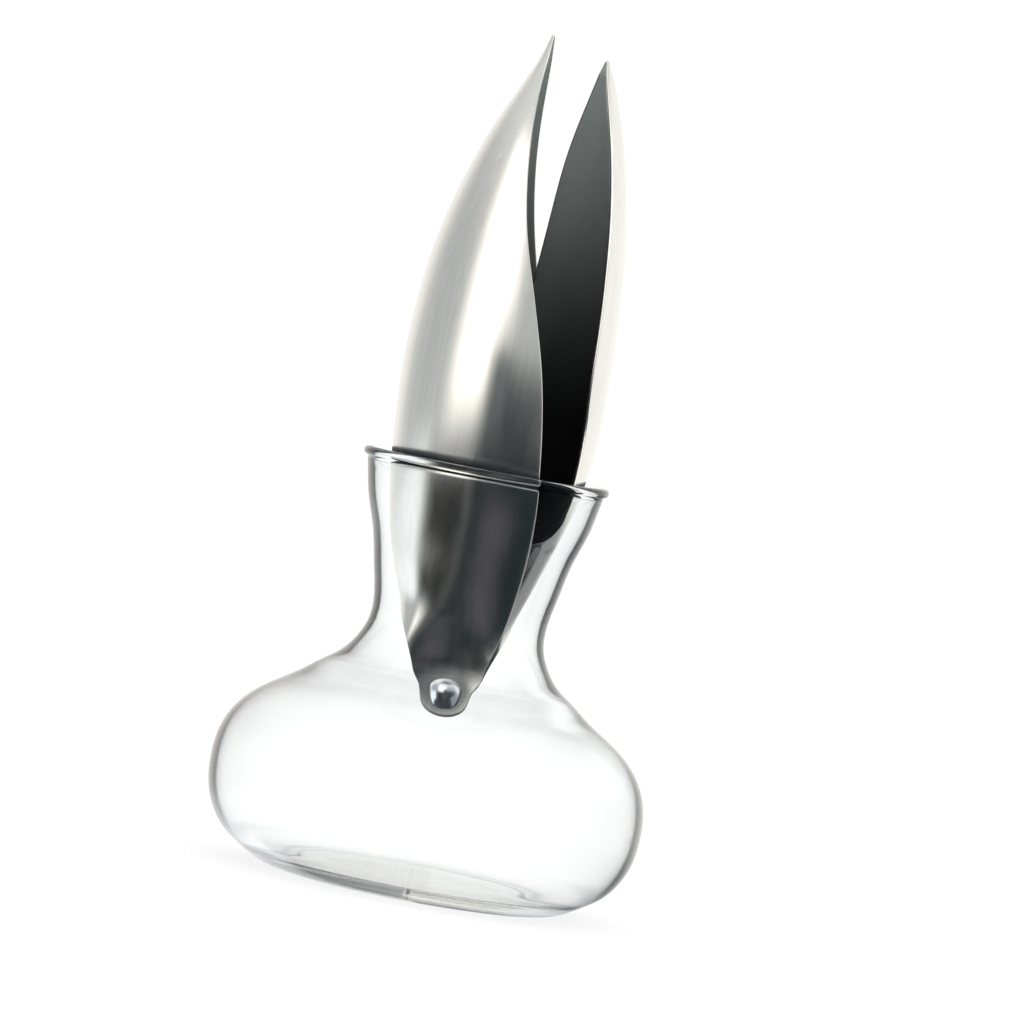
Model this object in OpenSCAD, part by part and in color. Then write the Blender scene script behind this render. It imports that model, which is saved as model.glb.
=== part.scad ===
/*
 * Garlic press of two nested steel leaf shells, standing in its own glass.
 * Millimetres. Origin: centre of the flat base of the glass, Z up.
 * X points to the inner (right) handle, the pivot axis runs along Y.
 */

/* [Part to show] */

// Which sub-part to draw

/* [Glass] */

// Height of the glass
glass_height = 112; // [100:1:125]

// Wall of the glass
glass_wall = 1.8; // [1.6:0.1:3]

// Thickness of the glass floor
glass_floor = 3.6; // [2.5:0.1:6]

/* [Press] */

// Height of the pivot axis above the table
pivot_height = 52.9; // [50:0.1:60]

// Lean of the outer handle, negative to the left
outer_lean = -1.2; // [-3:0.1:0]

// Lean of the inner handle, positive to the right
inner_lean = 3.7; // [3:0.1:5]

// Pivot to tip, outer handle
outer_length = 172.4; // [165:0.1:180]

// Pivot to tip, inner handle
inner_length = 168.9; // [160:0.1:175]

// Sheet thickness of both handles
sheet = 1.2; // [1:0.1:1.6]

// Gap between the nested sheets
nest_gap = 0.6; // [0.5:0.1:1]

/* [Pivot] */

// Radius of the pivot pin
pin_r = 2.5; // [2:0.1:3]

// Radial running clearance on the pin
pin_play = 0.05; // [0.02:0.01:0.1]

// Radius of the ball shaped rivet heads
head_r = 4; // [3.5:0.1:4.5]

/* [Pressing chamber] */

// Angle of the sieve plane from the axis of the inner handle
sieve_angle = 17; // [15:0.5:18]

// Sieve plate thickness
sieve_t = 1.2; // [1:0.1:1.5]

// Sieve hole diameter
hole_d = 2; // [1.6:0.1:2.4]

// Pitch of the sieve holes
hole_pitch = 3.1; // [2.8:0.1:3.5]

// Full squeeze from the rest position
squeeze_travel = 4.5; // [3:0.1:4.6]

/* [Hidden] */

$fn = 96;

// ---- outlines, as [distance from the pivot, value] stations ----

// outer handle: distance from axis to spine
OUT_SPINE = [
    [-8, 15.5], [5, 14.2], [14, 14.0], [22.4, 15.5], [29.8, 18.3], [38.6, 21.0],
    [48.6, 22.8], [61.5, 24.2], [83.6, 25.0], [98.5, 24.1], [113.6, 22.1],
    [127.4, 18.8], [138.4, 15.2], [148.8, 11.0], [158.4, 6.3], [167, 2.3], [172.4, 0.7]
];

// outer handle: x of the front rim and of the back rim
OUT_NEAR = [
    [-8, 7.6], [3, 7.9], [10, 9.9], [18, 12], [26, 13.6], [46, 15.4], [65, 14.2], [85, 11.1],
    [103, 6.3], [121, 1.2], [137, -1.2], [152, -1.9], [166, -1.1], [172.4, -0.1]
];
OUT_FAR = [
    [-8, 7.6], [3, 7.9], [10, 9.4], [18, 10.6], [26, 11], [46, 10.8], [65, 10.2], [85, 9.2],
    [103, 7.4], [121, 3.1], [137, 0.7], [152, 0], [166, 0.2], [172.4, 0.1]
];

// inner handle, spine on the other side
IN_SPINE = [
    [-8, 13.5], [5, 12.2], [14, 12.0], [20, 12.7], [30, 15.3], [43, 18.3], [51, 20.3],
    [60, 21.9], [70, 22.6], [87, 21.8], [102, 20.3], [120, 17.5], [134.4, 14.2],
    [152, 8.6], [162, 4.3], [168.9, 0.7]
];
IN_NEAR = [
    [-8, -7.4], [6, -7.2], [20, -5], [34, -4.5], [38.5, -2], [41, 6], [43.5, 13.5],
    [47.3, 17], [53.6, 18.9], [62, 19.3], [72, 18.9], [86, 17.1], [101, 15.7],
    [115.5, 13.8], [130, 11.3], [144, 7.9], [161.5, 2.4], [168.9, 0.2]
];
IN_FAR = [
    [-8, -7.4], [6, -7.2], [20, -5.6], [43, -5], [80, -4.6], [100, -4], [132, -4],
    [145, -3.5], [157, -1.9], [168.9, -0.1]
];

// half depth of the outer handle, by radius from the pivot
DEPTH = [
    [0, 11.5], [7, 11.5], [12, 12.8], [17, 14.6], [24, 16.4], [32, 18.1], [41, 19.9],
    [50, 21.8], [60, 23.3], [72, 24.6], [86, 25.2], [100, 24.3], [115, 22.0],
    [130, 18.5], [145, 13.6], [158, 7.8], [168, 3.0], [173, 0.9]
];

// depth of the inner handle against the outer one, before the sheet and gap
NEST = [
    [0, 0.905], [10, 0.905], [18, 0.885], [24, 0.855], [42, 0.84], [62, 0.965],
    [173, 0.965]
];

// how far the flanks curve in past the axis: outer front, outer back, inner
TUCK_FRONT = [
    [-8, 0], [8, 0], [14, 0.1], [20, 0.2], [28, 0.28], [38, 0.33], [47, 0.3],
    [60, 0.34], [75, 0.42], [173, 0.42]
];
TUCK_BACK = [[-8, 0], [8, 0], [24, 0.05], [173, 0.05]];

// squareness of the spine side of the section
OUT_SQUARE = [[-8, 6], [8, 6], [20, 3], [32, 2.2], [60, 2], [173, 2]];
IN_SQUARE = [[-8, 6], [8, 6], [16, 4.5], [44, 4], [64, 2.1], [100, 2], [173, 2]];

// outside of the glass, [height, radius]
GLASS_OUT = [
    [0, 36.5], [1.1, 40.3], [4.2, 45.8], [7.3, 50.2], [11.2, 53.4], [16.9, 56],
    [24, 57], [33.8, 55.8], [38.5, 53.6], [42.9, 50], [47.1, 44.6], [51.5, 37.9],
    [54.9, 33.5], [58.2, 29], [63.7, 24.8], [67.8, 23.2], [73, 22.9], [76.7, 23.4],
    [81.5, 24.4], [91.2, 26.5], [99.5, 29.2], [106, 30.6], [110.4, 31.4]
];

SKIN_STEPS = 36;
FRONT = 1;
BACK = -1;
LEFT = -1;
RIGHT = 1;
RAD = 180 / PI;

// ---- smooth interpolation through stations ----

function seg(T, s, i = 0) =
    (i >= len(T) - 2 || s < T[i + 1][0]) ? i : seg(T, s, i + 1);

function secant(T, i) = (T[i + 1][1] - T[i][1]) / (T[i + 1][0] - T[i][0]);

function grade(T, i) =
    i == 0 ? secant(T, 0) :
    i == len(T) - 1 ? secant(T, i - 1) :
    let (p = secant(T, i - 1), n = secant(T, i))
    let (hp = T[i][0] - T[i - 1][0], hn = T[i + 1][0] - T[i][0])
    p * n <= 0 ? 0 : (p * hn + n * hp) / (hp + hn);

function at(T, s) =
    let (i = seg(T, s), h = T[i + 1][0] - T[i][0])
    let (u = min(max((s - T[i][0]) / h, 0), 1))
    let (m0 = grade(T, i) * h, m1 = grade(T, i + 1) * h)
    (2*u*u*u - 3*u*u + 1) * T[i][1] + (u*u*u - 2*u*u + u) * m0
        + (3*u*u - 2*u*u*u) * T[i + 1][1] + (u*u*u - u*u) * m1;

// ---- leaf shell: rings of points along the handle ----

// angle around the section at which the sheet reaches distance e from the axis
function rim_angle(e, a) = e >= 0 ? acos(min(1, e / a)) : 90 - e / a * RAD;

// distance towards the spine at angle q, a on the spine and negative past the axis
function reach(q, a) = abs(q) <= 90 ? a * cos(q) : -a * (abs(q) - 90) / RAD;

function depth_at(r, inset) =
    inset == 0 ? at(DEPTH, r) : at(DEPTH, r) * at(NEST, r) - inset;

function fullness(e, a, n, tuck) =
    e > 0 ? pow(max(0, 1 - pow(e / a, n)), 1 / n) : 1 - tuck * pow(e / a, 2);

function skin_point(s, q, side, a, n, inset, w) =
    let (e = reach(q, a), b = depth_at(norm([s, e]), inset))
    let (tuck = at(side < 0 && q > 0 ? TUCK_FRONT : TUCK_BACK, s))
    let (t = min(w, 0.45 * a, 0.45 * b), f = fullness(e, a, n, tuck))
    let (x = e > 0 ? e * (a - t) / a : e, y = e > 0 ? (b - t) * f : b * f - t)
    [side * x, -sign(q) * y, s];

function ring(s, side, spine, near, far, square, inset) =
    let (a = at(spine, s), n = at(square, s))
    let (qn = rim_angle(side * at(near, s), a), qf = rim_angle(side * at(far, s), a))
    concat(
        [for (j = [0 : SKIN_STEPS])
            skin_point(s, -qf + (qn + qf) * j / SKIN_STEPS, side, a, n, inset, 0)],
        [for (j = [SKIN_STEPS : -1 : 0])
            skin_point(s, -qf + (qn + qf) * j / SKIN_STEPS, side, a, n, inset, sheet)]
    );

module leaf(levels, side, spine, near, far, square, inset) {
    m = 2 * (SKIN_STEPS + 1);
    last = len(levels) - 1;
    points = [for (s = levels) each ring(s, side, spine, near, far, square, inset)];
    walls = [for (i = [0 : last - 1]) for (j = [0 : m - 1])
        let (a = i * m + j, b = i * m + (j + 1) % m)
        each [[a, b, b + m], [a, b + m, a + m]]];
    first_cap = [for (j = [0 : SKIN_STEPS - 1])
        each [[j, m - 1 - j, j + 1], [j + 1, m - 1 - j, m - 2 - j]]];
    last_cap = [for (f = first_cap)
        [f[0] + last * m, f[2] + last * m, f[1] + last * m]];
    faces = concat(walls, first_cap, last_cap);
    polyhedron(
        points,
        side > 0 ? faces : [for (f = faces) [f[0], f[2], f[1]]],
        convexity = 8
    );
}

// ---- placing ----

module about_pivot(lean) {
    translate([0, 0, pivot_height])
        rotate([0, lean, 0])
            children();
}

// extrude an outline drawn in x and z along the pivot axis
module across(from, to) {
    translate([0, to, 0])
        rotate([90, 0, 0])
            linear_extrude(height = to - from)
                children();
}

// cylinder along the pivot axis
module shaft(r, from, to) {
    across(from, to)
        circle(r = r);
}

// ---- sub-parts ----

lip_r = 32.4;
lip_drop = 1.3;

module glass_stand() {
    n = len(GLASS_OUT);
    outside = [for (p = GLASS_OUT) [p[1], p[0]]];
    inside = [for (i = [n - 2 : -1 : 2]) [GLASS_OUT[i][1] - glass_wall, GLASS_OUT[i][0] + 0.4]];
    color("lightcyan")
        rotate_extrude(convexity = 6)
            union() {
                polygon(concat(
                    [[0, 0]],
                    outside,
                    [[lip_r - lip_drop, glass_height - lip_drop]],
                    [[lip_r - 2 * lip_drop, glass_height - lip_drop]],
                    inside,
                    [[40, glass_floor], [0, glass_floor]]
                ));
                translate([lip_r - lip_drop, glass_height - lip_drop])
                    circle(r = lip_drop);
            }
}

ear_r = 6.4;
ear_top = 190;
half_depth = 40;

module outer_handle() {
    levels = concat([for (s = [-8 : 4 : 156]) s], [160, 163.5, 166.5, 169, 171, outer_length]);
    color("silver")
        about_pivot(outer_lean)
            difference() {
                intersection() {
                    leaf(levels, LEFT, OUT_SPINE, OUT_NEAR, OUT_FAR, OUT_SQUARE, 0);
                    across(-half_depth, half_depth)
                        union() {
                            circle(r = ear_r);
                            polygon([
                                [-5.93, -2.42], [5.9, -2.4], [8.2, 3.5], [40, 3.5],
                                [40, ear_top], [-34, ear_top], [-34, 66.4]
                            ]);
                        }
                }
                shaft(pin_r + pin_play, -half_depth, half_depth);
            }
}

window_half = 7.5;
window_from = 20;
window_to = 41;
window_corner = 2.5;

module window_outline() {
    c = window_corner;
    translate([-window_half + c, window_from])
        square([2 * (window_half - c), window_to - window_from]);
    translate([-window_half, window_from + c])
        square([2 * window_half, window_to - window_from - 2 * c]);
    for (x = [-1, 1])
        for (z = [window_from + c, window_to - c])
            translate([x * (window_half - c), z])
                circle(r = c);
}

module inner_handle() {
    levels = concat(
        [for (s = [-8 : 4 : 32]) s], [35, 37], [for (s = [38.5 : 1.5 : 56.5]) s],
        [for (s = [60 : 4 : 152]) s], [156, 160, 163, 165.5, 167.5, inner_length]
    );
    color("silver")
        about_pivot(inner_lean)
            difference() {
                intersection() {
                    leaf(levels, RIGHT, IN_SPINE, IN_NEAR, IN_FAR, IN_SQUARE, sheet + nest_gap);
                    across(-half_depth, half_depth)
                        union() {
                            circle(r = ear_r);
                            polygon([
                                [-5.9, -2.4], [6.13, -1.84], [26.6, 66.4], [34, 66.4],
                                [34, ear_top], [-40, ear_top], [-40, 3.5], [-7.5, 3.5]
                            ]);
                        }
                }
                shaft(pin_r + pin_play, -half_depth, half_depth);
                rotate([0, sieve_angle, 0])
                    rotate([90, 0, 90])
                        linear_extrude(height = through)
                            window_outline();
            }
}

chamber_in = 18.2;
chamber_out = 43;
chamber_half = 8.9;
chamber_wall = 1;
chamber_mouth = 27;
floor_t = 1.3;
flange = [[-10.8, 16.6], [10.8, 16.6], [14.8, 44.6], [-14.8, 44.6]];
mouth_bevel = 2;
through = 40;

// ring sector about the pivot, from the plane through the pivot back by an angle
module sector(r0, r1, half, sweep) {
    rotate([90, 0, 0])
        rotate([0, 0, 90])
            rotate_extrude(angle = sweep)
                translate([r0, -half])
                    square([r1 - r0, 2 * half]);
}

module press_chamber() {
    color("gainsboro")
        about_pivot(inner_lean + sieve_angle)
            union() {
                difference() {
                    sector(
                        chamber_in - chamber_wall, chamber_out + chamber_wall,
                        chamber_half + chamber_wall, chamber_mouth
                    );
                    rotate([0, mouth_bevel, 0])
                        sector(chamber_in, chamber_out, chamber_half, chamber_mouth + 6);
                }
                difference() {
                    rotate([90, 0, 90])
                        linear_extrude(height = floor_t)
                            polygon(flange);
                    translate([-through / 2, 0, 0])
                        rotate([90, 0, 90])
                            linear_extrude(height = through)
                                window_outline();
                }
            }
}

hole_rows = 7;
hole_columns = 5;
hole_facets = 24;
sieve_mid = 30.5;
sieve_play = 0.1;

module sieve_insert() {
    color("gainsboro")
        about_pivot(inner_lean + sieve_angle)
            difference() {
                translate([-sieve_t, -chamber_half + sieve_play, chamber_in + 2 * sieve_play])
                    cube([
                        sieve_t,
                        2 * (chamber_half - sieve_play),
                        chamber_out - chamber_in - 4 * sieve_play
                    ]);
                for (i = [0 : hole_rows - 1])
                    for (j = [0 : hole_columns - 1])
                        translate([
                            -2 * sieve_t,
                            (j - (hole_columns - 1) / 2) * hole_pitch,
                            sieve_mid + (i - (hole_rows - 1) / 2) * hole_pitch
                        ])
                            rotate([0, 90, 0])
                                cylinder(r = hole_d / 2, h = 4 * sieve_t, $fn = hole_facets);
            }
}

plunger_gap = 0.45;
plunger_half = 8.6;
plunger_t = 8;
plunger_angle = sieve_angle + inner_lean - squeeze_travel - outer_lean;
lug_half = 3.5;
lug_r = 4;
lug_root = 4;
pin_at = [-13.9, 30.5];
pin_hole = 1.5;
pin_fit = 0.03;
arc_play = 0.3;

module plunger_block() {
    color("gray")
        about_pivot(outer_lean + plunger_angle)
            difference() {
                union() {
                    intersection() {
                        difference() {
                            shaft(chamber_out - arc_play, -plunger_half, plunger_half);
                            shaft(chamber_in + arc_play, -half_depth, half_depth);
                        }
                        translate([-sieve_t - plunger_gap - plunger_t, -half_depth, 0])
                            cube([plunger_t, 2 * half_depth, 2 * chamber_out]);
                    }
                    translate([pin_at[0], -lug_half, pin_at[1] - lug_r])
                        cube([-pin_at[0] - sieve_t - lug_root, 2 * lug_half, 2 * lug_r]);
                    translate([pin_at[0], 0, pin_at[1]])
                        shaft(lug_r, -lug_half, lug_half);
                }
                translate([pin_at[0], 0, pin_at[1]])
                    shaft(pin_hole + pin_fit, -half_depth, half_depth);
            }
}

cheek_from = 3.8;
cheek_to = 5.4;
// the pin, seen from the axis of the outer handle
pin_x = pin_at[0] * cos(plunger_angle) + pin_at[1] * sin(plunger_angle);
pin_z = pin_at[1] * cos(plunger_angle) - pin_at[0] * sin(plunger_angle);

module bracket_cheek() {
    difference() {
        union() {
            polygon([
                [-15.2, 25.5], [pin_x, pin_z - lug_r], [pin_x, pin_z + lug_r], [-19.8, 40]
            ]);
            translate([pin_x, pin_z])
                circle(r = lug_r);
        }
        translate([pin_x, pin_z])
            circle(r = pin_hole);
    }
}

module plunger_bracket() {
    color("gainsboro")
        about_pivot(outer_lean)
            union() {
                across(-cheek_to, -cheek_from)
                    bracket_cheek();
                across(cheek_from, cheek_to)
                    bracket_cheek();
                across(-cheek_to, cheek_to)
                    polygon([
                        [-15.0, 26.5], [-13.2, 27.2], [-17.1, 38.3], [-19.0, 38.5]
                    ]);
            }
}

cap_r = 2.3;
cap_t = 0.8;

module plunger_pin() {
    color("gray")
        about_pivot(outer_lean)
            translate([pin_x, 0, pin_z])
                union() {
                    shaft(pin_hole, -cheek_to, cheek_to);
                    shaft(cap_r, -cheek_to - cap_t, -cheek_to);
                    shaft(cap_r, cheek_to, cheek_to + cap_t);
                }
}

ear_face = DEPTH[0][1];
inner_face = ear_face * NEST[0][1] - sheet - nest_gap;
face_play = 0.05;
head_seat = ear_face + face_play;
head_bore = 1.6;
head_rise = 1.1;

module pivot_pin() {
    color("gray")
        about_pivot(0)
            shaft(pin_r, -head_seat - head_bore, head_seat + head_bore);
}

module pivot_head(side) {
    about_pivot(0)
        rotate([side * 90, 0, 0])
            rotate_extrude()
                difference() {
                    intersection() {
                        translate([0, head_seat + head_rise])
                            circle(r = head_r);
                        translate([0, head_seat])
                            square([2 * head_r, 2 * head_r]);
                    }
                    translate([-1, head_seat - 1])
                        square([pin_r + 1, head_bore + 1]);
                }
}

module pivot_head_front() {
    color("white")
        pivot_head(FRONT);
}

module pivot_head_back() {
    color("white")
        pivot_head(BACK);
}

washer_r = 5;

module pivot_washers() {
    from = inner_face + face_play;
    to = ear_face - sheet - face_play;
    color("dimgray")
        about_pivot(0)
            difference() {
                union() {
                    shaft(washer_r, -to, -from);
                    shaft(washer_r, from, to);
                }
                shaft(pin_r, -half_depth, half_depth);
            }
}

sleeve_r = 3.7;

module pivot_sleeve() {
    half = inner_face - sheet - face_play;
    color("gray")
        about_pivot(0)
            difference() {
                shaft(sleeve_r, -half, half);
                shaft(pin_r, -half_depth, half_depth);
            }
}

glass_stand();
outer_handle();
inner_handle();
press_chamber();
sieve_insert();
plunger_block();
plunger_bracket();
plunger_pin();
pivot_pin();
pivot_head_front();
pivot_head_back();
pivot_washers();
pivot_sleeve();
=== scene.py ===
"""Looks of the garlic press in its glass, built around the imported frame."""
import math
import bmesh
import bpy
import numpy as np
from mathutils import Matrix, Vector


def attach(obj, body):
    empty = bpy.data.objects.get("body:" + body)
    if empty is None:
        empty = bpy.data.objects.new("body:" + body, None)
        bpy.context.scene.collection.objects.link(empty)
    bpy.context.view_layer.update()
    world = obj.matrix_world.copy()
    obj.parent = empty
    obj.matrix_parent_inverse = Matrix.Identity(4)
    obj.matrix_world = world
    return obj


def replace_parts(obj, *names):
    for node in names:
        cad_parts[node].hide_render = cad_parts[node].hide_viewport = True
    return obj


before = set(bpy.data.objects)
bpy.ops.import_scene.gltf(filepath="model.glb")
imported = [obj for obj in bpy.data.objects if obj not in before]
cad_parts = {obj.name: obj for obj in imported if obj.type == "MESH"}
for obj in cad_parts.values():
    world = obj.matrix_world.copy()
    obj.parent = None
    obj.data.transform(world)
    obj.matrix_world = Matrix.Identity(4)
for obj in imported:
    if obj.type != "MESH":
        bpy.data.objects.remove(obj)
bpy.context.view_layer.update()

MM = 0.001
D = bpy.data

# ---------------------------------------------------------------- dimensions
# the outlines of part.scad, as [distance from the pivot, value] in mm

PIVOT_Z = 52.9
OUTER_LEAN, OUTER_LENGTH = -1.2, 172.4
INNER_LEAN, INNER_LENGTH = 3.7, 168.9
SHEET = 1.2
NEST_GAP = 0.6
SIEVE_ANGLE = 17
BORE_R, PIN_R, PIN_SEAT = 2.55, 2.5, 1.6

OUT_SPINE = [
    [-8, 15.5], [5, 14.2], [14, 14.0], [22.4, 15.5], [29.8, 18.3], [38.6, 21.0],
    [48.6, 22.8], [61.5, 24.2], [83.6, 25.0], [98.5, 24.1], [113.6, 22.1],
    [127.4, 18.8], [138.4, 15.2], [148.8, 11.0], [158.4, 6.3], [167, 2.3], [172.4, 0.7],
]
OUT_NEAR = [
    [-8, 7.6], [3, 7.9], [10, 9.9], [18, 12], [26, 13.6], [46, 15.4], [65, 14.2], [85, 11.1],
    [103, 6.3], [121, 1.2], [137, -1.2], [152, -1.9], [166, -1.1], [172.4, -0.1],
]
OUT_FAR = [
    [-8, 7.6], [3, 7.9], [10, 9.4], [18, 10.6], [26, 11], [46, 10.8], [65, 10.2], [85, 9.2],
    [103, 7.4], [121, 3.1], [137, 0.7], [152, 0], [166, 0.2], [172.4, 0.1],
]
IN_SPINE = [
    [-8, 13.5], [5, 12.2], [14, 12.0], [20, 12.7], [30, 15.3], [43, 18.3], [51, 20.3],
    [60, 21.9], [70, 22.6], [87, 21.8], [102, 20.3], [120, 17.5], [134.4, 14.2],
    [152, 8.6], [162, 4.3], [168.9, 0.7],
]
IN_NEAR = [
    [-8, -7.4], [6, -7.2], [20, -5], [34, -4.5], [38.5, -2], [41, 6], [43.5, 13.5],
    [47.3, 17], [53.6, 18.9], [62, 19.3], [72, 18.9], [86, 17.1], [101, 15.7],
    [115.5, 13.8], [130, 11.3], [144, 7.9], [161.5, 2.4], [168.9, 0.2],
]
IN_FAR = [
    [-8, -7.4], [6, -7.2], [20, -5.6], [43, -5], [80, -4.6], [100, -4], [132, -4],
    [145, -3.5], [157, -1.9], [168.9, -0.1],
]
DEPTH = [
    [0, 11.5], [7, 11.5], [12, 12.8], [17, 14.6], [24, 16.4], [32, 18.1], [41, 19.9],
    [50, 21.8], [60, 23.3], [72, 24.6], [86, 25.2], [100, 24.3], [115, 22.0],
    [130, 18.5], [145, 13.6], [158, 7.8], [168, 3.0], [173, 0.9],
]
NEST = [
    [0, 0.905], [10, 0.905], [18, 0.885], [24, 0.855], [42, 0.84], [62, 0.965],
    [173, 0.965]
]
TUCK_FRONT = [
    [-8, 0], [8, 0], [14, 0.1], [20, 0.2], [28, 0.28], [38, 0.33], [47, 0.3],
    [60, 0.34], [75, 0.42], [173, 0.42]
]
TUCK_BACK = [[-8, 0], [8, 0], [24, 0.05], [173, 0.05]]
OUT_SQUARE = [[-8, 6], [8, 6], [20, 3], [32, 2.2], [60, 2], [173, 2]]
IN_SQUARE = [[-8, 6], [8, 6], [16, 4.5], [44, 4], [64, 2.1], [100, 2], [173, 2]]

GLASS_OUT = [
    [0, 36.5], [1.1, 40.3], [4.2, 45.8], [7.3, 50.2], [11.2, 53.4], [16.9, 56],
    [24, 57], [33.8, 55.8], [38.5, 53.6], [42.9, 50], [47.1, 44.6], [51.5, 37.9],
    [54.9, 33.5], [58.2, 29], [63.7, 24.8], [67.8, 23.2], [73, 22.9], [76.7, 23.4],
    [81.5, 24.4], [91.2, 26.5], [99.5, 29.2], [106, 30.6], [110.4, 31.4],
]
GLASS_HEIGHT = 112
GLASS_WALL = 1.8
GLASS_FLOOR = 3.6
LIP_R, LIP_BEAD = 32.4, 1.3


def curve(table, smooth):
    """Dense smooth version of a station table, as a function of distance."""
    t = np.array(table, float)
    s, y = t[:, 0], t[:, 1]
    h, g = np.diff(s), np.diff(y) / np.diff(s)
    m = np.empty(len(s))
    m[0], m[-1] = g[0], g[-1]
    mid = (g[:-1] * h[1:] + g[1:] * h[:-1]) / (h[:-1] + h[1:])
    m[1:-1] = np.where(g[:-1] * g[1:] <= 0, 0, mid)
    step = 0.25
    x = np.arange(s[0], s[-1] + step / 2, step)
    i = np.clip(np.searchsorted(s, x, side="right") - 1, 0, len(h) - 1)
    u = (x - s[i]) / h[i]
    v = (
        (2 * u**3 - 3 * u**2 + 1) * y[i]
        + (u**3 - 2 * u**2 + u) * m[i] * h[i]
        + (3 * u**2 - 2 * u**3) * y[i + 1]
        + (u**3 - u**2) * m[i + 1] * h[i]
    )
    if smooth:
        n = int(3 * smooth / step)
        k = np.exp(-0.5 * (np.arange(-n, n + 1) * step / smooth) ** 2)
        k /= k.sum()
        left = 2 * v[0] - v[n:0:-1]
        right = 2 * v[-1] - v[-2 : -n - 2 : -1]
        v = np.convolve(np.concatenate([left, v, right]), k, "valid")
    return lambda q: np.interp(q, x, v)


# ------------------------------------------------------------------ meshes

def new_mesh(name, verts, faces, uvs=None):
    me = D.meshes.new(name)
    corners = [tuple(int(i) for i in f) for f in faces]
    me.from_pydata([tuple(v) for v in verts], [], corners)
    me.validate()
    me.update()
    if uvs is not None:
        layer = me.uv_layers.new(name="grain")
        idx = np.empty(len(me.loops), np.int32)
        me.loops.foreach_get("vertex_index", idx)
        layer.data.foreach_set("uv", np.asarray(uvs, np.float32)[idx].ravel())
    me.shade_smooth()
    ob = D.objects.new(name, me)
    bpy.context.scene.collection.objects.link(ob)
    return ob


def outline_outer(x, s):
    left = x >= -5.93 - (s + 2.42) * 0.4079
    right = (s >= 3.5) | (x <= 5.9 + (s + 2.4) * 0.3898)
    return (x * x + s * s <= 6.4**2) | ((s > -2.42) & left & right)


def outline_inner(x, s):
    right = x <= 6.13 + (s + 1.84) * 0.3
    left = (s >= 3.5) | (x >= -5.9 - (s + 2.4) * 0.2712)
    return (x * x + s * s <= 6.4**2) | ((s > -1.84) & left & right)


class Leaf:
    """One curved handle: a point for each place along it and round it."""

    def __init__(self, side, spine, near, far, square, inset, length, outline):
        self.side, self.inset, self.length = side, inset, length
        self.spine, self.far = curve(spine, 3.0), curve(far, 3.0)
        self.near = curve(near, 1.2 if side > 0 else 3.0)
        self.square = curve(square, 3.0)
        self.depth, self.nest = curve(DEPTH, 2.2), curve(NEST, 3.0)
        self.tuck_front = curve(TUCK_FRONT if side < 0 else TUCK_BACK, 3.0)
        self.tuck_back = curve(TUCK_BACK, 3.0)
        self.outline = outline

    def angle(self, e, a):
        r = np.clip(e / a, -3, 1)
        return np.where(r >= 0, np.degrees(np.arccos(np.maximum(r, 0))), 90 - np.degrees(r))

    def plan(self, s, v):
        a = self.spine(s)
        qn = self.angle(self.side * self.near(s), a)
        qf = self.angle(self.side * self.far(s), a)
        q = np.where(v >= 0, v * qn, v * qf)
        c = np.cos(np.radians(np.minimum(np.abs(q), 90)))
        e = np.where(np.abs(q) <= 90, a * c, -a * np.radians(np.abs(q) - 90))
        return a, q, e

    def point(self, s, v, wall):
        a, q, e = self.plan(s, v)
        n = self.square(s)
        b = self.depth(np.hypot(s, e))
        if self.inset:
            b = b * self.nest(np.hypot(s, e)) - self.inset
        t = np.minimum(wall, np.minimum(0.45 * a, 0.45 * b))
        ratio = np.clip(e / a, 0, 1)
        arc = np.maximum(0, 1 - ratio**n) ** (1 / n)
        tuck = np.where(q > 0, self.tuck_front(s), self.tuck_back(s)) * (e / a) ** 2
        x = np.where(e > 0, e * (a - t) / a, e)
        y = np.where(e > 0, (b - t) * arc, b * (1 - tuck) - t)
        return np.stack([self.side * x, -np.sign(q) * y, s], -1)

    def start(self, v):
        """Lowest place on the handle for each strip, on the outline of the ears."""
        s = np.arange(34, -8, -0.02)
        best = np.full(len(v), 34.0)
        alive = np.ones(len(v), bool)
        for q in s:
            _, _, e = self.plan(np.full(len(v), q), v)
            alive &= self.outline(self.side * e, np.full(len(v), q))
            best = np.where(alive, q, best)
        return best


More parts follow.
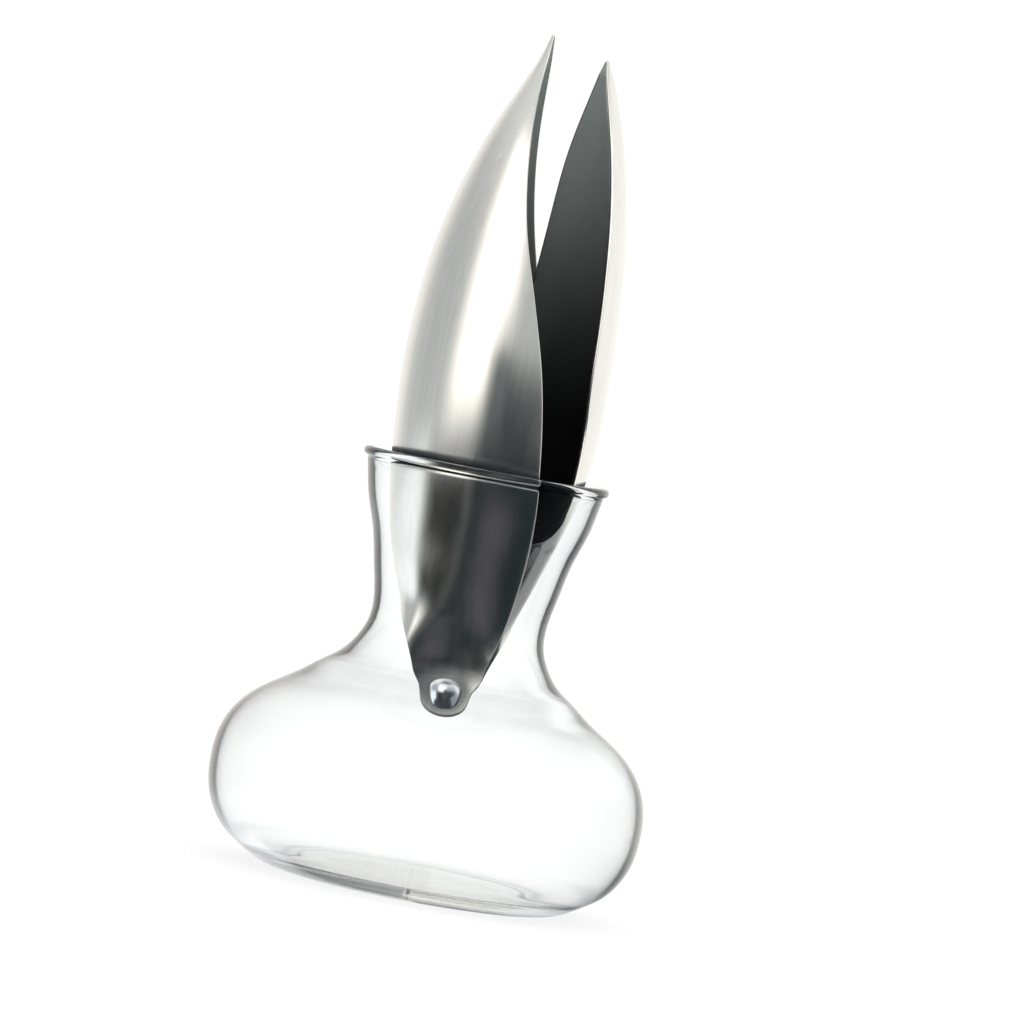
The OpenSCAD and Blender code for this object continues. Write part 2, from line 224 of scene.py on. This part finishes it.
def leaf_mesh(name, leaf, rows, cols):
    v = np.linspace(-1, 1, cols)
    low = leaf.start(v)
    t = np.linspace(0, 1, rows)
    t = t + 0.045 * np.sin(2 * np.pi * t) / (2 * np.pi)
    top = leaf.length - 0.3
    s = low[None, :] + (top - low)[None, :] * t[:, None]
    vv = np.broadcast_to(v, s.shape)
    out = leaf.point(s.ravel(), vv.ravel(), 0.0).reshape(rows, cols, 3)
    inn = leaf.point(s.ravel(), vv.ravel(), SHEET).reshape(rows, cols, 3)
    pieces = np.linalg.norm(np.diff(out, axis=1), axis=2)
    girth = np.concatenate([np.zeros((rows, 1)), np.cumsum(pieces, axis=1)], 1)
    girth -= girth[:, [cols // 2]]
    uv = np.stack([girth, s], -1).reshape(-1, 2) * 0.01

    n = rows * cols
    verts = [out.reshape(-1, 3), inn.reshape(-1, 3)]
    uvs = [uv, uv]
    r, c = np.meshgrid(np.arange(rows - 1), np.arange(cols - 1), indexing="ij")
    a = (r * cols + c).ravel()
    quad = np.stack([a, a + 1, a + cols + 1, a + cols], -1)
    if leaf.side > 0:
        quad = quad[:, ::-1]
    faces = [quad, quad[:, ::-1] + n]

    # the rims: a rounded strip that joins the two skins
    ring = (
        [i for i in range(cols)]
        + [k * cols + cols - 1 for k in range(1, rows)]
        + [(rows - 1) * cols + i for i in range(cols - 2, -1, -1)]
        + [k * cols for k in range(rows - 2, 0, -1)]
    )
    ring = np.array(ring)
    rr, cc = ring // cols, ring % cols
    ir = np.clip(rr, 1, rows - 2)
    ic = np.clip(cc, 1, cols - 2)
    po, pi = out[rr, cc], inn[rr, cc]
    away = out[rr, cc] - out[ir, ic]
    chord = po - pi
    half = np.linalg.norm(chord, axis=1, keepdims=True) / 2
    unit = chord / (2 * half)
    away -= (away * unit).sum(1, keepdims=True) * unit
    away /= np.maximum(np.linalg.norm(away, axis=1, keepdims=True), 1e-9)
    # even out the outward direction at the corners
    for _ in range(2):
        away = away + np.roll(away, 1, 0) + np.roll(away, -1, 0)
        away /= np.linalg.norm(away, axis=1, keepdims=True)
    steps = [math.radians(d) for d in (22, 50, 90, 130, 158)]
    layers = [ring]
    at = 2 * n
    for ang in steps:
        p = (po + pi) / 2 + chord / 2 * math.cos(ang) + away * half * 0.75 * math.sin(ang)
        verts.append(p)
        uvs.append(uv[ring])
        layers.append(at + np.arange(len(ring)))
        at += len(ring)
    layers.append(ring + n)
    for lo, hi in zip(layers[:-1], layers[1:]):
        strip = np.stack([lo, hi, np.roll(hi, -1), np.roll(lo, -1)], -1)
        faces.append(strip[:, ::-1] if leaf.side > 0 else strip)
    verts = np.concatenate(verts) * MM
    ob = new_mesh(name, verts, np.concatenate(faces), np.concatenate(uvs))
    # the hollow side's skin takes the shaded copy of the steel, which carries painted shade
    skin = np.zeros(len(ob.data.polygons), np.int32)
    skin[len(quad):2 * len(quad)] = 1
    ob.data.polygons.foreach_set("material_index", skin)
    ob.data.materials.append(satin)
    ob.data.materials.append(satin_hollow_shaded)
    return ob


def place(ob, lean):
    turn = Matrix.Translation((0, 0, PIVOT_Z * MM)) @ Matrix.Rotation(math.radians(lean), 4, "Y")
    ob.data.transform(turn)
    ob.data.update()


def lathe(name, profile, steps):
    """Revolve [radius, height] points about Z; both ends of the profile lie on the axis."""
    n = len(profile)
    verts, faces = [], []
    for k in range(steps):
        a = 2 * math.pi * k / steps
        verts += [(r * math.cos(a) * MM, r * math.sin(a) * MM, z * MM) for r, z in profile]
    for k in range(steps):
        j = (k + 1) % steps
        for i in range(n - 1):
            faces.append([k * n + i, j * n + i, j * n + i + 1, k * n + i + 1])
    ob = new_mesh(name, verts, faces)
    bm = bmesh.new()
    bm.from_mesh(ob.data)
    bmesh.ops.remove_doubles(bm, verts=bm.verts, dist=1e-7)
    bmesh.ops.recalc_face_normals(bm, faces=bm.faces)
    bm.to_mesh(ob.data)
    bm.free()
    ob.data.shade_smooth()
    return ob


def natural_spline(points, count):
    """Smooth curve through the points, by chord length."""
    p = np.array(points, float)
    t = np.concatenate([[0], np.cumsum(np.linalg.norm(np.diff(p, axis=0), axis=1))])
    n = len(p)
    h = np.diff(t)
    A = np.zeros((n, n))
    B = np.zeros((n, 2))
    A[0, 0] = A[-1, -1] = 1
    for i in range(1, n - 1):
        A[i, i - 1], A[i, i], A[i, i + 1] = h[i - 1], 2 * (h[i - 1] + h[i]), h[i]
        B[i] = 6 * ((p[i + 1] - p[i]) / h[i] - (p[i] - p[i - 1]) / h[i - 1])
    m = np.linalg.solve(A, B)
    x = np.linspace(0, t[-1], count)
    i = np.clip(np.searchsorted(t, x, side="right") - 1, 0, n - 2)
    hi = h[i][:, None]
    u, w = (t[i + 1] - x)[:, None], (x - t[i])[:, None]
    return (
        m[i] * u**3 / (6 * hi)
        + m[i + 1] * w**3 / (6 * hi)
        + (p[i] / hi - m[i] * hi / 6) * u
        + (p[i + 1] / hi - m[i + 1] * hi / 6) * w
    )


# --------------------------------------------------------------- materials

def material(name):
    m = D.materials.new(name)
    m.use_nodes = True
    m.node_tree.nodes.clear()
    return m, m.node_tree


def node(tree, kind, **inputs):
    n = tree.nodes.new(kind)
    for key, value in inputs.items():
        if key in ("operation", "blend_type", "data_type", "noise_dimensions", "direction_type",
                   "uv_map", "voronoi_dimensions", "feature"):
            setattr(n, key, value)
        else:
            n.inputs[key.replace("_", " ")].default_value = value
    return n


def ramp(tree, source, stops):
    n = tree.nodes.new("ShaderNodeValToRGB")
    tree.links.new(source, n.inputs["Fac"])
    els = n.color_ramp.elements
    while len(els) < len(stops):
        els.new(0.5)
    for e, (pos, col) in zip(els, stops):
        e.position = pos
        e.color = (*col, 1) if len(col) == 3 else (col[0], col[0], col[0], 1)
    return n.outputs["Color"]


def steel(name, tint, rough, grain_strength, uv=True, stretch=(900, 900, 12), anis=0.0,
          smudge=0.05, metal=1.0, hollow_shade=None):
    """Satin stainless steel with fine lengthwise grain, faint smudges and brighter worn edges,
    and optionally painted shade darker towards the bottom of the hollow.
    """
    m, t = material(name)
    link = t.links.new
    co = node(t, "ShaderNodeTexCoord")
    grain_map = node(t, "ShaderNodeMapping")
    grain_map.inputs["Scale"].default_value = stretch
    link(co.outputs["Object"], grain_map.inputs["Vector"])
    grain = node(t, "ShaderNodeTexNoise", Scale=1.0, Detail=5.0, Roughness=0.65)
    link(grain_map.outputs["Vector"], grain.inputs["Vector"])
    coarse_map = node(t, "ShaderNodeMapping")
    coarse_map.inputs["Scale"].default_value = tuple(v * 0.22 for v in stretch)
    link(co.outputs["Object"], coarse_map.inputs["Vector"])
    coarse = node(t, "ShaderNodeTexNoise", Scale=1.0, Detail=3.0, Roughness=0.6)
    link(coarse_map.outputs["Vector"], coarse.inputs["Vector"])
    cloud = node(t, "ShaderNodeTexNoise", Scale=38.0, Detail=4.0, Roughness=0.55)
    link(co.outputs["Object"], cloud.inputs["Vector"])

    mix = node(t, "ShaderNodeMath", operation="MULTIPLY_ADD")
    link(coarse.outputs["Fac"], mix.inputs[0])
    mix.inputs[1].default_value = 0.6
    link(grain.outputs["Fac"], mix.inputs[2])

    geo = node(t, "ShaderNodeNewGeometry")
    edge = ramp(t, geo.outputs["Pointiness"], [(0.5, (0.0,)), (0.62, (1.0,))])

    low, high = tuple(c * 0.93 for c in tint), tuple(min(1, c * 1.05) for c in tint)
    col = ramp(t, mix.outputs[0], [(0.45, low), (1.15 / 1.6, tint), (1.0, high)])
    wear = node(t, "ShaderNodeMix", data_type="RGBA")
    link(edge, wear.inputs["Factor"])
    link(col, wear.inputs[6])
    wear.inputs[7].default_value = (*[min(1, c * 1.12) for c in tint], 1)

    tone = wear.outputs[2]
    if hollow_shade is not None:
        # painted shade: darker towards the bottom of the hollow
        place_at = node(t, "ShaderNodeSeparateXYZ")
        link(co.outputs["Object"], place_at.inputs[0])
        height = node(t, "ShaderNodeMapRange")
        height.interpolation_type = "SMOOTHSTEP"
        link(place_at.outputs["Z"], height.inputs["Value"])
        height.inputs["From Min"].default_value = 0.125
        height.inputs["From Max"].default_value = 0.215
        height.inputs["To Min"].default_value = hollow_shade
        height.inputs["To Max"].default_value = 1.0
        painted_shade = node(t, "ShaderNodeVectorMath", operation="SCALE")
        link(tone, painted_shade.inputs[0])
        link(height.outputs["Result"], painted_shade.inputs["Scale"])
        tone = painted_shade.outputs[0]

    rgh = node(t, "ShaderNodeMath", operation="MULTIPLY_ADD")
    link(cloud.outputs["Fac"], rgh.inputs[0])
    rgh.inputs[1].default_value = smudge * 2
    rgh.inputs[2].default_value = rough - smudge
    rgh2 = node(t, "ShaderNodeMath", operation="MULTIPLY_ADD")
    link(grain.outputs["Fac"], rgh2.inputs[0])
    rgh2.inputs[1].default_value = 0.06
    link(rgh.outputs[0], rgh2.inputs[2])

    bump = node(t, "ShaderNodeBump", Strength=grain_strength, Distance=0.00004)
    link(mix.outputs[0], bump.inputs["Height"])
    bsdf = node(t, "ShaderNodeBsdfPrincipled")
    bsdf.inputs["Metallic"].default_value = metal
    bsdf.inputs["Anisotropic"].default_value = anis
    link(tone, bsdf.inputs["Base Color"])
    link(rgh2.outputs[0], bsdf.inputs["Roughness"])
    link(bump.outputs["Normal"], bsdf.inputs["Normal"])
    if uv:
        tan = node(t, "ShaderNodeTangent", direction_type="UV_MAP", uv_map="grain")
        link(tan.outputs["Tangent"], bsdf.inputs["Tangent"])
    out = node(t, "ShaderNodeOutputMaterial")
    link(bsdf.outputs["BSDF"], out.inputs["Surface"])
    return m


def clear_glass():
    """Thin clear glass: slightly wavy, with painted shade that darkens it where a wall is seen
    along its length, in place of the dark lines that refraction shows at its edges.
    """
    m, t = material("clear_glass")
    link = t.links.new
    co = node(t, "ShaderNodeTexCoord")
    wave = node(t, "ShaderNodeTexNoise", Scale=16.0, Detail=1.5, Roughness=0.4)
    link(co.outputs["Object"], wave.inputs["Vector"])
    bump = node(t, "ShaderNodeBump", Strength=0.25, Distance=0.0004)
    link(wave.outputs["Fac"], bump.inputs["Height"])
    fine = node(t, "ShaderNodeTexNoise", Scale=90.0, Detail=3.0, Roughness=0.6)
    link(co.outputs["Object"], fine.inputs["Vector"])
    haze = node(t, "ShaderNodeMath", operation="MULTIPLY")
    link(fine.outputs["Fac"], haze.inputs[0])
    haze.inputs[1].default_value = 0.012
    # painted shade: the glass colour darkens as the wall is seen more glancingly
    facing = node(t, "ShaderNodeLayerWeight", Blend=0.5)
    tint = ramp(t, facing.outputs["Facing"], GLASS_TINT_AND_EDGE_SHADE)
    bsdf = node(t, "ShaderNodeBsdfPrincipled")
    bsdf.inputs["Transmission Weight"].default_value = 1.0
    bsdf.inputs["IOR"].default_value = 1.49
    bsdf.inputs["Specular Tint"].default_value = (0.22, 0.22, 0.24, 1)
    link(tint, bsdf.inputs["Base Color"])
    link(haze.outputs[0], bsdf.inputs["Roughness"])
    link(bump.outputs["Normal"], bsdf.inputs["Normal"])
    out = node(t, "ShaderNodeOutputMaterial")
    link(bsdf.outputs["BSDF"], out.inputs["Surface"])
    return m


# glass colour by how glancingly the wall is seen: a faint tint of its own, then painted shade
# towards the edges
GLASS_TINT_AND_EDGE_SHADE = [
    (0.0, (0.992, 0.997, 0.996)), (0.72, (0.975, 0.985, 0.985)), (0.84, (0.78, 0.83, 0.86)),
    (0.92, (0.22, 0.28, 0.32)), (1.0, (0.01, 0.02, 0.03)),
]


def plastic(name, colour):
    m, t = material(name)
    link = t.links.new
    co = node(t, "ShaderNodeTexCoord")
    n = node(t, "ShaderNodeTexNoise", Scale=900.0, Detail=3.0, Roughness=0.6)
    link(co.outputs["Object"], n.inputs["Vector"])
    bump = node(t, "ShaderNodeBump", Strength=0.3, Distance=0.00005)
    link(n.outputs["Fac"], bump.inputs["Height"])
    col = ramp(t, n.outputs["Fac"], [(0.3, tuple(c * 0.85 for c in colour)), (0.7, colour)])
    bsdf = node(t, "ShaderNodeBsdfPrincipled", Roughness=0.55)
    link(col, bsdf.inputs["Base Color"])
    link(bump.outputs["Normal"], bsdf.inputs["Normal"])
    out = node(t, "ShaderNodeOutputMaterial")
    link(bsdf.outputs["BSDF"], out.inputs["Surface"])
    return m


def paint(ob, mat):
    ob.data.materials.clear()
    ob.data.materials.append(mat)


satin = steel("satin_steel", (0.70, 0.70, 0.68), 0.16, 0.12, anis=0.45, smudge=0.025)
# painted shade: a greener, less metallic copy of the satin steel for the hollow side of the
# handles, darkened towards the bottom of the hollow
satin_hollow_shaded = steel("satin_steel_hollow_painted_shade", (0.70, 0.76, 0.74), 0.28, 0.15, anis=0.4, metal=0.7,
                     hollow_shade=0.05)
satin_inside = steel("satin_steel_inner", (0.60, 0.60, 0.59), 0.33, 0.5, uv=False)
polished = steel("polished_steel", (0.68, 0.72, 0.77), 0.19, 0.04, uv=False,
                 stretch=(300, 300, 300), smudge=0.02)
glass = clear_glass()
washer = plastic("washer_plastic", (0.05, 0.05, 0.055))

# ------------------------------------------------------------------- pieces

outer = leaf_mesh(
    "outer_shell",
    Leaf(-1, OUT_SPINE, OUT_NEAR, OUT_FAR, OUT_SQUARE, 0, OUTER_LENGTH, outline_outer),
    300, 181,
)
place(outer, OUTER_LEAN)
inner = leaf_mesh(
    "inner_shell",
    Leaf(1, IN_SPINE, IN_NEAR, IN_FAR, IN_SQUARE, SHEET + NEST_GAP, INNER_LENGTH, outline_inner),
    300, 181,
)
place(inner, INNER_LEAN)


def rounded_window():
    """Cutter for the opening behind the sieve, in the frame of the inner handle."""
    half, low, high, r = 7.5, 20.0, 41.0, 2.5
    ring = []
    for cx, cz, start in ((half - r, high - r, 0), (r - half, high - r, 90),
                          (r - half, low + r, 180), (half - r, low + r, 270)):
        for k in range(9):
            a = math.radians(start + 90 * k / 8)
            ring.append((cx + r * math.cos(a), cz + r * math.sin(a)))
    n = len(ring)
    verts = [(x, y, z) for x in (0.0, 30.0) for y, z in ring]
    faces = [list(range(n))[::-1], list(range(n, 2 * n))]
    faces += [[i, (i + 1) % n, n + (i + 1) % n, n + i] for i in range(n)]
    me = D.meshes.new("window_cutter")
    me.from_pydata([tuple(c * MM for c in v) for v in verts], [], faces)
    ob = D.objects.new("window_cutter", me)
    bpy.context.scene.collection.objects.link(ob)
    me.transform(Matrix.Rotation(math.radians(SIEVE_ANGLE), 4, "Y"))
    place(ob, INNER_LEAN)
    return ob


def bore_cutter():
    """Cutter for the running fit of the pivot pin through both ears."""
    sides = 64
    turns = [2 * math.pi * k / sides for k in range(sides)]
    ring = [(BORE_R * math.cos(a), BORE_R * math.sin(a)) for a in turns]
    verts = [(x, y, z + PIVOT_Z) for y in (-20.0, 20.0) for x, z in ring]
    faces = [list(range(sides)), list(range(sides, 2 * sides))[::-1]]
    faces += [[i, sides + i, sides + (i + 1) % sides, (i + 1) % sides] for i in range(sides)]
    me = D.meshes.new("bore_cutter")
    me.from_pydata([tuple(c * MM for c in v) for v in verts], [], faces)
    ob = D.objects.new("bore_cutter", me)
    bpy.context.scene.collection.objects.link(ob)
    return ob


def cut(ob, cutter):
    mod = ob.modifiers.new("cut", "BOOLEAN")
    mod.operation, mod.object, mod.solver = "DIFFERENCE", cutter, "EXACT"
    dg = bpy.context.evaluated_depsgraph_get()
    me = D.meshes.new_from_object(ob.evaluated_get(dg))
    ob.modifiers.clear()
    ob.data = me
    me.shade_smooth()
    me.set_sharp_from_angle(angle=math.radians(50))
    D.objects.remove(cutter)


cut(inner, rounded_window())
cut(inner, bore_cutter())
cut(outer, bore_cutter())

for ob, body in ((outer, "outer_handle"), (inner, "inner_handle")):
    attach(ob, body)
    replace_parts(ob, body)


def glass_profile():
    pts = natural_spline([[r, z] for z, r in GLASS_OUT], 150)
    pts[:, 0] = np.minimum(pts[:, 0], max(r for _, r in GLASS_OUT))
    lip_c = (LIP_R - LIP_BEAD, GLASS_HEIGHT - LIP_BEAD)
    # the inner wall is set in from the outer one along the radius, as in part.scad
    wall = [[r - GLASS_WALL, z + 0.4] for z, r in GLASS_OUT[2:-1]]
    inside = natural_spline(wall, 150)[::-1]
    outside = pts[pts[:, 1] < lip_c[1] - 1.1]
    bead = [
        (lip_c[0] + LIP_BEAD * math.cos(a), lip_c[1] + LIP_BEAD * math.sin(a))
        for a in np.radians(np.linspace(-38, 186, 26))
    ]
    foot = [(0.0, 0.0), (18.0, 0.0), (30.0, 0.0), (35.2, 0.0)]
    floor = [(43.1, 4.22), (41.8, 3.86), (40.2, GLASS_FLOOR + 0.06), (38.5, GLASS_FLOOR),
             (22.0, GLASS_FLOOR), (10.0, GLASS_FLOOR), (0.0, GLASS_FLOOR)]
    first = [(36.5, 0.12), (37.4, 0.35)]
    body = [tuple(p) for p in outside if p[1] > 0.6]
    return foot + first + body + bead + [tuple(p) for p in inside] + floor


jar = lathe("glass_jar", glass_profile(), 192)
paint(jar, glass)
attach(jar, "glass")
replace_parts(jar, "glass_stand")


def ball_head(name, side):
    """Ball shaped rivet head on a small collar, lying on the ear of the outer handle."""
    seat, rise, r = 11.55, 1.1, 4.0
    first = -math.asin(rise / r) + 0.02
    arc = [
        (r * math.cos(a), seat + rise + r * math.sin(a))
        for a in np.linspace(first + 0.1, math.pi / 2, 40)
    ]
    socket = [(0.0, seat + PIN_SEAT), (PIN_R, seat + PIN_SEAT), (PIN_R, seat)]
    profile = socket + [(3.5, seat), (3.7, seat + 0.06), (3.8, seat + 0.22)]
    ob = lathe(name, profile + arc, 96)
    ob.data.transform(Matrix.Rotation(math.radians(90 if side > 0 else -90), 4, "X"))
    ob.data.transform(Matrix.Translation((0, 0, PIVOT_Z * MM)))
    paint(ob, polished)
    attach(ob, "pivot")
    return ob


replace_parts(ball_head("rivet_ball_front", 1), "pivot_head_front")
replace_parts(ball_head("rivet_ball_back", -1), "pivot_head_back")

for name in ("press_chamber", "sieve_insert", "plunger_block", "plunger_bracket",
             "plunger_pin", "pivot_pin", "pivot_sleeve"):
    paint(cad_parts[name], satin_inside)
paint(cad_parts["pivot_washers"], washer)

# -------------------------------------------------------------------- stage

def only_reflected(tree, plain, reflected):
    """Shows one shader directly and through glass, and another in reflections."""
    path = node(tree, "ShaderNodeLightPath")
    over = node(tree, "ShaderNodeMath", operation="GREATER_THAN")
    tree.links.new(path.outputs["Glossy Depth"], over.inputs[0])
    over.inputs[1].default_value = 0.5
    mix = node(tree, "ShaderNodeMixShader")
    tree.links.new(over.outputs[0], mix.inputs[0])
    tree.links.new(plain, mix.inputs[1])
    tree.links.new(reflected, mix.inputs[2])
    return mix.outputs[0]


def floor_plane():
    me = D.meshes.new("floor")
    half = 12.0
    corners = [(-half, -half, 0), (half, -half, 0), (half, half, 0), (-half, half, 0)]
    me.from_pydata(corners, [], [(0, 1, 2, 3)])
    ob = D.objects.new("floor", me)
    bpy.context.scene.collection.objects.link(ob)
    m, t = material("floor_white")
    bsdf = node(t, "ShaderNodeBsdfPrincipled", Roughness=0.9)
    bsdf.inputs["Base Color"].default_value = (0.25, 0.25, 0.25, 1)
    bsdf.inputs["Specular IOR Level"].default_value = 0.0
    bsdf.inputs["Emission Color"].default_value = (1, 1, 1, 1)
    bsdf.inputs["Emission Strength"].default_value = 0.8
    # reflections pass through to the lower panels of the studio
    clear = node(t, "ShaderNodeBsdfTransparent")
    out = node(t, "ShaderNodeOutputMaterial")
    t.links.new(only_reflected(t, bsdf.outputs[0], clear.outputs[0]), out.inputs["Surface"])
    me.materials.append(m)


floor_plane()

# soft light panels and dark flags round the object, as
# (from azimuth, to azimuth, from elevation, to elevation, softness of each pair, colour)
# azimuth 0 is the camera side and positive towards +X; each lies over the ones before it
BASE = (0.60, 0.61, 0.61)
PANELS = [
    (-200, 200, 27, 100, 14, 12, (0.88, 0.88, 0.87)),
    (-240, 240, -100, -36, 20, 6, (0.02, 0.03, 0.035)),
    (-240, -130, -30, 90, 22, 8, (1.14, 1.11, 1.06)),
    (80, 240, -10, 90, 16, 8, (1.24, 1.22, 1.18)),
    (-14, 84, -60, 0, 10, 9, (0.012, 0.022, 0.024)),
    (-66, -12, -60, -16, 9, 5, (0.003, 0.004, 0.005)),
    (-54, -10, -9, 40, 14, 6, (2.2, 2.1, 1.95)),
    (-46, 6, 10, 34, 9, 8, (1.9, 1.85, 1.75)),
    (-170, -74, -38, -12, 7, 5, (1.40, 1.46, 1.48)),
    (6, 26, -40, -21, 7, 7, (0.12, 0.11, 0.125)),
    (60, 180, -40, -16, 10, 8, (0.36, 0.37, 0.38)),
    (-9, 11, -12, 3, 5, 4, (0.10, 0.125, 0.135)),
]


def studio():
    world = D.worlds.new("studio")
    bpy.context.scene.world = world
    world.use_nodes = True
    t = world.node_tree
    t.nodes.clear()
    link = t.links.new
    co = node(t, "ShaderNodeTexCoord")
    xyz = node(t, "ShaderNodeSeparateXYZ")
    link(co.outputs["Generated"], xyz.inputs[0])
    minus = node(t, "ShaderNodeMath", operation="MULTIPLY")
    link(xyz.outputs["Y"], minus.inputs[0])
    minus.inputs[1].default_value = -1
    turn = node(t, "ShaderNodeMath", operation="ARCTAN2")
    link(xyz.outputs["X"], turn.inputs[0])
    link(minus.outputs[0], turn.inputs[1])
    rise = node(t, "ShaderNodeMath", operation="ARCSINE")
    link(xyz.outputs["Z"], rise.inputs[0])

    def edge(source, low, high):
        r = t.nodes.new("ShaderNodeMapRange")
        r.interpolation_type = "SMOOTHSTEP"
        link(source, r.inputs["Value"])
        r.inputs["From Min"].default_value = math.radians(low)
        r.inputs["From Max"].default_value = math.radians(high)
        return r.outputs["Result"]

    def times(a, b):
        n = node(t, "ShaderNodeMath", operation="MULTIPLY")
        link(a, n.inputs[0])
        link(b, n.inputs[1])
        return n.outputs[0]

    def flipped(a):
        n = node(t, "ShaderNodeMath", operation="SUBTRACT")
        n.inputs[0].default_value = 1
        link(a, n.inputs[1])
        return n.outputs[0]

    colour = None
    for a0, a1, e0, e1, soft, rise_soft, tone in PANELS:
        az, el = turn.outputs[0], rise.outputs[0]
        mask = times(
            times(edge(az, a0 - soft, a0 + soft), flipped(edge(az, a1 - soft, a1 + soft))),
            times(edge(el, e0 - rise_soft, e0 + rise_soft),
                  flipped(edge(el, e1 - rise_soft, e1 + rise_soft))),
        )
        mix = node(t, "ShaderNodeMix", data_type="RGBA")
        link(mask, mix.inputs["Factor"])
        if colour is None:
            mix.inputs[6].default_value = (*BASE, 1)
        else:
            link(colour, mix.inputs[6])
        mix.inputs[7].default_value = (*tone, 1)
        colour = mix.outputs[2]
    white = node(t, "ShaderNodeBackground", Strength=1.1)
    white.inputs["Color"].default_value = (1, 1, 1, 1)
    panels = node(t, "ShaderNodeBackground", Strength=1.0)
    link(colour, panels.inputs["Color"])
    out = node(t, "ShaderNodeOutputWorld")
    # light that turned back inside a glass wall and came out again: dark lines at its edges
    path = node(t, "ShaderNodeLightPath")
    inside = node(t, "ShaderNodeMath", operation="COMPARE")
    link(path.outputs["Transmission Depth"], inside.inputs[0])
    inside.inputs[1].default_value = 2.5
    inside.inputs[2].default_value = 1.0
    dim = node(t, "ShaderNodeBackground", Strength=1.0)
    dim.inputs["Color"].default_value = (0.02, 0.025, 0.03, 1)
    mirrored = node(t, "ShaderNodeMixShader")
    link(inside.outputs[0], mirrored.inputs[0])
    link(panels.outputs[0], mirrored.inputs[1])
    link(dim.outputs[0], mirrored.inputs[2])
    link(only_reflected(t, white.outputs[0], mirrored.outputs[0]), out.inputs["Surface"])
    world.cycles.sampling_method = "NONE"


studio()

# ------------------------------------------------------------------- camera

cam_data = D.cameras.new("camera")
cam = D.objects.new("camera", cam_data)
bpy.context.scene.collection.objects.link(cam)
ELEVATION, ROLL, DISTANCE, WIDTH = 2.0, 10.66, 2.0, 0.266
cam_data.sensor_width = 36
cam_data.lens = 36 * DISTANCE / WIDTH
cam_data.clip_start, cam_data.clip_end = 0.05, 60
target = Vector((0.0084, 0, 0.1016))
tilt = math.radians(ELEVATION)
back = Vector((0, -math.cos(tilt), math.sin(tilt)))
cam.location = target + back * DISTANCE
cam.rotation_mode = "QUATERNION"
aim = (-back).to_track_quat("-Z", "Y").to_matrix() @ Matrix.Rotation(math.radians(ROLL), 3, "Z")
cam.rotation_quaternion = aim.to_quaternion()
bpy.context.scene.camera = cam

scene = bpy.context.scene
scene.view_settings.view_transform = "Standard"
scene.view_settings.look = "None"

bpy.context.view_layer.update()
